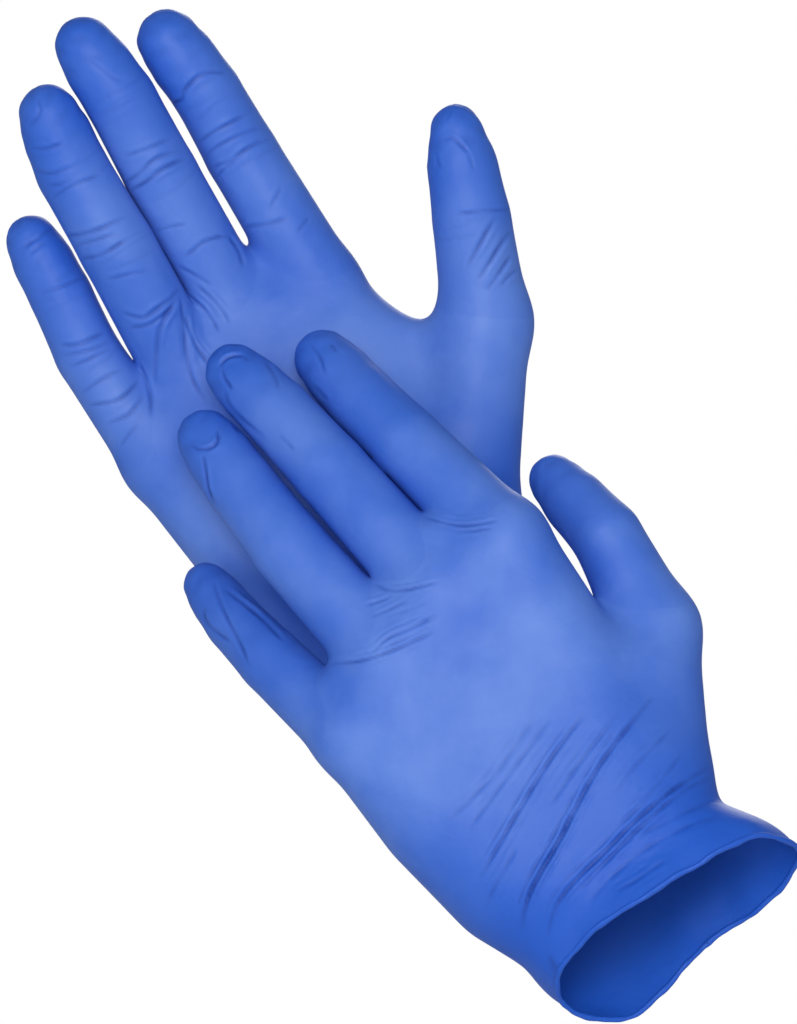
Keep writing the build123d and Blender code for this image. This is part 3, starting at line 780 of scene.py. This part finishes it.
# ---------------------------------------------------------------- material
def film_material():
    """Blue nitrile: paler and greyer where it is stretched, with painted shade darkening its folds, satin all
    over.
    """
    mat = bpy.data.materials.new("nitrile_film")
    mat.use_nodes = True
    nodes, links = mat.node_tree.nodes, mat.node_tree.links
    shader = nodes["Principled BSDF"]
    shader.inputs["Specular IOR Level"].default_value = 0.38
    place = nodes.new("ShaderNodeTexCoord")

    def noise(scale, detail):
        node = nodes.new("ShaderNodeTexNoise")
        node.inputs["Scale"].default_value = scale
        node.inputs["Detail"].default_value = detail
        links.new(place.outputs["Object"], node.inputs["Vector"])
        return node.outputs["Fac"]

    def mark(name):
        node = nodes.new("ShaderNodeAttribute")
        node.attribute_name = name
        return node.outputs["Fac"]

    def blend(factor, a, b):
        node = nodes.new("ShaderNodeMix")
        node.data_type = "RGBA"
        links.new(factor, node.inputs["Factor"])
        for name, value in (("A", a), ("B", b)):
            socket = [x for x in node.inputs if x.name == name and x.type == "RGBA"][0]
            if isinstance(value, tuple):
                socket.default_value = value
            else:
                links.new(value, socket)
        return [x for x in node.outputs if x.type == "RGBA"][0]

    def product(a, b):
        node = nodes.new("ShaderNodeMath")
        node.operation = "MULTIPLY"
        node.use_clamp = True
        for socket, value in zip(node.inputs, (a, b)):
            if isinstance(value, float):
                socket.default_value = value
            else:
                links.new(value, socket)
        return node.outputs[0]

    def bump(height, strength, distance):
        node = nodes.new("ShaderNodeBump")
        node.inputs["Strength"].default_value = strength
        node.inputs["Distance"].default_value = distance
        links.new(height, node.inputs["Height"])
        return node

    contrast = nodes.new("ShaderNodeMapRange")
    contrast.inputs["From Min"].default_value = 0.36
    contrast.inputs["From Max"].default_value = 0.66
    contrast.inputs["To Min"].default_value = 0.35
    links.new(noise(28.0, 4.0), contrast.inputs["Value"])
    stretched = product(mark("tight"), contrast.outputs["Result"])
    film = blend(stretched, (0.014, 0.104, 0.560, 1), (0.112, 0.232, 0.670, 1))
    # painted shade: the fold valleys are darkened towards deep blue, standing in for the shade that falls in
    # them
    film = blend(product(mark("fold"), 0.75), film, (0.010, 0.045, 0.300, 1))
    links.new(film, shader.inputs["Base Color"])
    rough = nodes.new("ShaderNodeMapRange")
    rough.inputs["To Min"].default_value = 0.44
    rough.inputs["To Max"].default_value = 0.62
    links.new(noise(60.0, 3.0), rough.inputs["Value"])
    links.new(rough.outputs["Result"], shader.inputs["Roughness"])
    soft = bump(noise(240.0, 3.0), 0.35, 0.0006)
    fine = bump(noise(2600.0, 2.0), 0.15, 0.0002)
    links.new(soft.outputs["Normal"], fine.inputs["Normal"])
    links.new(fine.outputs["Normal"], shader.inputs["Normal"])
    return mat


# ---------------------------------------------------------------- build
def mm(v):
    return tuple(np.asarray(v) / 1000)


def shape_cuff(g, vertices, normals, rest):
    """The loose edge of the cuff: waves in and out, and a flap where it hangs."""
    d = rest - g.rim
    inside = -(d @ g.rim_out)
    theta = np.arctan2(d @ g.third, d @ g.rim_across)
    near = np.exp(-(np.clip(inside, 0, None) / 11.0) ** 2)
    wide = np.exp(-(np.clip(inside, 0, None) / 22.0) ** 2)
    flap, hang, spread = g.data["flap"]
    turn = (theta - math.radians(flap) + np.pi) % (2 * np.pi) - np.pi
    drop = hang * np.exp(-(turn / math.radians(spread)) ** 2) * wide
    drop += near * (0.9 * np.sin(3 * theta + 0.6) + 0.5 * np.sin(7 * theta + 2.0)
                    + 0.15 * np.sin(16 * theta))
    puff = near * (0.9 * np.sin(4 * theta + 2.2) + 0.5 * np.sin(6 * theta + 0.4)
                   + 0.25 * np.sin(13 * theta + 1.0))
    return vertices + g.rim_out * drop[:, None] + normals * puff[:, None]


def build(g, material):
    """Make a glove's film in one, cut it at its creases, and hang the knuckle piece and the bead on their
    bodies; the other pieces stay fixed in place.
    """
    vertices, quads = glove_surface(g)
    vertices = relax(vertices, quads, RELAX)
    vertices += vertex_normals(vertices, quads) * RELAX_LOSS
    beyond = (vertices - g.rim) @ g.rim_out
    keep = (beyond[quads].mean(1) < 0)
    quads = quads[keep]
    used, quads_flat = np.unique(quads, return_inverse=True)
    vertices, quads = vertices[used], quads_flat.reshape(quads.shape)
    edge = boundary_edges(quads)
    loop = ordered_loop(edge)
    over = (vertices[loop] - g.rim) @ g.rim_out
    vertices[loop] -= over[:, None] * g.rim_out
    normals = vertex_normals(vertices, quads)
    _, palm, digits = field(g, vertices, parts=True)

    stack = np.stack([digits[d] for d in DIGITS])
    owner = np.argmin(stack, 0)
    owned = stack.min(0) < palm
    _, v, _ = g.local(vertices)
    rest = vertices.copy()
    height, tight = film_height(g, vertices, normals, owner, owned)
    # fold: painted shade for the fold valleys, darker where a valley is deeper; tight: how stretched the film
    # is
    marks = {"fold": np.clip(-height / FOLD_SHADE_FULL, 0, 1), "tight": tight}
    vertices = vertices + normals * height[:, None]
    vertices = shape_cuff(g, vertices, normals, rest)
    normals = vertex_normals(vertices, quads)
    past_knuckles = (rest - g.knuckles) @ g.onward

    def face_mean(values):
        return values[quads].mean(1)

    kind = np.full(len(quads), 1)
    kind[face_mean(v) < CUFF_TOP] = 0
    kind[face_mean(past_knuckles) > KNUCKLE_CUT] = 2
    centre = rest[quads].mean(1)
    face_owner = owner[quads[:, 0]]
    face_owned = face_mean(owned.astype(float)) > 0.5
    near_thumb = face_mean(digits["thumb"]) < THUMB_NEAR
    zones = {}
    for i, d in enumerate(DIGITS):
        chain = g.chain[d]
        first = 0 if d == "thumb" else 1
        mid_dir = unit(chain[first + 1] - chain[first])
        mid = (chain[first] + chain[first + 1]) / 2
        half = np.linalg.norm(chain[first + 1] - chain[first]) / 2 - CUT_CLEAR
        if d == "thumb":
            direction, low, high = g.data["thumb_zone"]
            direction = unit(direction[0] * g.U + direction[1] * g.V + direction[2] * g.W)
            zones[d, 0] = (chain[0] + direction * low, chain[0] + direction * high)
            start_ok = (centre - chain[0]) @ direction > low - 0.01
            mid = chain[0] + mid_dir * THUMB_CUT
            zones[d, 1] = (mid + mid_dir * 0.7, chain[1] + mid_dir * THUMB_END_BEND)
        else:
            zones[d, 0] = (chain[1] - mid_dir * half, chain[1] + mid_dir * half)
            start_ok = (centre - chain[1]) @ mid_dir > -half - 1.5
            zones[d, 1] = (chain[2] - mid_dir * half, chain[2] + mid_dir * half)
        mine = start_ok & (face_owner == i) & (near_thumb if d == "thumb" else face_owned)
        kind[mine] = 10 + i
        kind[mine & ((centre - mid) @ mid_dir > 0)] = 20 + i

    hand = g.hand
    made = []
    names = {0: "cuff_film", 1: "palm_film", 2: "knuckle_film"}
    for code in np.unique(kind):
        piece = quads[kind == code]
        if code in names:
            name = f"{hand}_{names[code]}"
        else:
            name = f"{hand}_{DIGITS[code % 10]}_{'mid' if code < 20 else 'tip'}_film"
        obj = make_piece(name, vertices, normals, piece, material, marks)
        made.append((code, obj))
    for code, obj in made:
        if code == 0:
            start, end = (mm(g.at(0, above)) for above in WRIST_BEND)
            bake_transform(obj)
            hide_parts(f"{hand}_glove_cuff")
        elif code == 1:
            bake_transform(obj)
            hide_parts(f"{hand}_glove_palm")
        elif code == 2:
            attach(obj, f"{hand} knuckles")
            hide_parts(f"{hand}_glove_knuckles")
        else:
            d = DIGITS[code % 10]
            first = code < 20
            start, end = zones[d, 0 if first else 1]
            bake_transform(obj)
            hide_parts(f"{hand}_glove_{d}_{'mid' if first else 'tip'}")
    bead = make_bead(f"{hand}_rolled_bead", vertices[loop] + g.rim_out * 0.4, material)
    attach(bead, f"{hand} cuff")
    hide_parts(f"{hand}_glove_bead")


material = film_material()
for hand, data in GLOVES.items():
    build(Glove(hand, data), material)


# ---------------------------------------------------------------- floor, light, camera
def plain(name, color, rough=0.8):
    mat = bpy.data.materials.new(name)
    mat.use_nodes = True
    nodes, links = mat.node_tree.nodes, mat.node_tree.links
    shader = nodes["Principled BSDF"]
    shader.inputs["Roughness"].default_value = rough
    noise = nodes.new("ShaderNodeTexNoise")
    noise.inputs["Scale"].default_value = 6.0
    ramp = nodes.new("ShaderNodeValToRGB")
    ramp.color_ramp.elements[0].color = (*[c * 0.97 for c in color], 1)
    ramp.color_ramp.elements[1].color = (*color, 1)
    links.new(noise.outputs["Fac"], ramp.inputs["Fac"])
    links.new(ramp.outputs["Color"], shader.inputs["Base Color"])
    return mat


def panel(name, corners, material):
    mesh = bpy.data.meshes.new(name)
    mesh.from_pydata(corners, [], [(0, 1, 2, 3)])
    mesh.materials.append(material)
    obj = bpy.data.objects.new(name, mesh)
    bpy.context.scene.collection.objects.link(obj)
    return obj


low_z = cad_box[0].z
FLOOR_DROP, FLOOR_HALF = 0.30, 4
corners = ((-1, -1), (1, -1), (1, 1), (-1, 1))
panel("floor", [(x * FLOOR_HALF, y * FLOOR_HALF, low_z - FLOOR_DROP) for x, y in corners],
      plain("floor_paper", (0.82, 0.82, 0.82)))

world = bpy.context.scene.world or bpy.data.worlds.new("studio")
bpy.context.scene.world = world
world.use_nodes = True
sky, sky_links = world.node_tree.nodes, world.node_tree.links
sky["Background"].inputs["Color"].default_value = (0.84, 0.96, 1.2, 1)
sky["Background"].inputs["Strength"].default_value = 0.26
white = sky.new("ShaderNodeBackground")
white.inputs["Strength"].default_value = 1.0
white.inputs["Color"].default_value = (1, 1, 1, 1)
mix = sky.new("ShaderNodeMixShader")
sky_links.new(sky.new("ShaderNodeLightPath").outputs["Is Camera Ray"], mix.inputs[0])
sky_links.new(sky["Background"].outputs["Background"], mix.inputs[1])
sky_links.new(white.outputs["Background"], mix.inputs[2])
sky_links.new(mix.outputs["Shader"], sky["World Output"].inputs["Surface"])


def softbox(name, position, target, size, power):
    light = bpy.data.lights.new(name, "AREA")
    light.shape = "RECTANGLE"
    light.size, light.size_y = size
    light.energy = power
    obj = bpy.data.objects.new(name, light)
    bpy.context.scene.collection.objects.link(obj)
    obj.location = position
    obj.rotation_euler = (Vector(target) - Vector(position)).to_track_quat("-Z", "Y").to_euler()
    return obj


middle = (cad_box[0] + cad_box[1]) / 2
softbox("front", (middle.x - 0.15, -2.2, middle.z + 0.45), middle, (0.9, 0.9), 30)
softbox("fill_left", (middle.x - 1.5, -1.2, middle.z + 0.2), middle, (0.9, 1.2), 4)
softbox("fill_right", (middle.x + 1.5, -1.2, middle.z + 0.5), middle, (0.9, 1.2), 4)
softbox("back", (middle.x + 0.2, 2.2, middle.z + 0.9), middle, (0.9, 0.9), 14)

camera = bpy.data.cameras.new("camera")
camera_obj = bpy.data.objects.new("camera", camera)
bpy.context.scene.collection.objects.link(camera_obj)
bpy.context.scene.camera = camera_obj
WINDOW = 0.3072                          # metres in view, at the gloves, along the longer side
DISTANCE = 6.0
camera.lens = 36.0 * DISTANCE / WINDOW
camera_obj.location = (-0.06315, 0.02 - DISTANCE, 0.1083)
camera_obj.rotation_euler = (math.radians(90), 0, 0)
camera.clip_end = 50
bpy.context.scene.view_settings.view_transform = "Standard"
